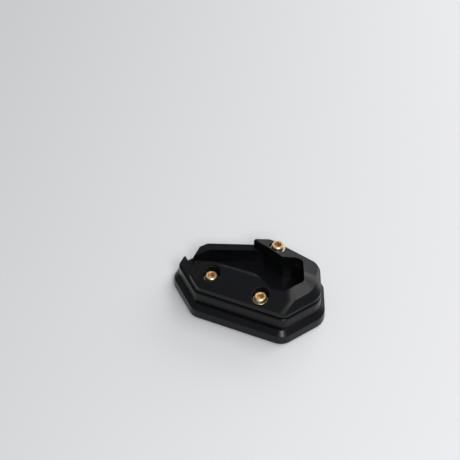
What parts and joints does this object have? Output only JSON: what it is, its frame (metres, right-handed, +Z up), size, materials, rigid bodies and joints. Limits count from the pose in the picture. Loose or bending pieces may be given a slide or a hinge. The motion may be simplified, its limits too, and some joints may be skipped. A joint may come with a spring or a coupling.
{
  "type": "kickstand foot enlarger",
  "caption": "Faceted black metal foot plate that bolts round a side stand's foot: a wide flanged base, a horseshoe clamp plate over it and gold taper-head hex screws in counterbores.",
  "frame": {"origin": "on the ground, under the middle of the base plate's bounding box", "axes": "+X from heel to toe along the plate's length, +Y to the side with one screw, +Z up"},
  "size_m": [0.094, 0.059, 0.0284],
  "materials": {
    "black_anodised": "satin black anodised, fine bead-blasted grain",
    "gold_screw": "bright gold-coloured coating on turned steel"
  },
  "bodies": {
    "root": {"base_plate": "black_anodised", "clamp_plate": "black_anodised", "near_heel_screw": "gold_screw", "near_toe_screw": "gold_screw", "far_screw": "gold_screw"}
  },
  "joints": []
}
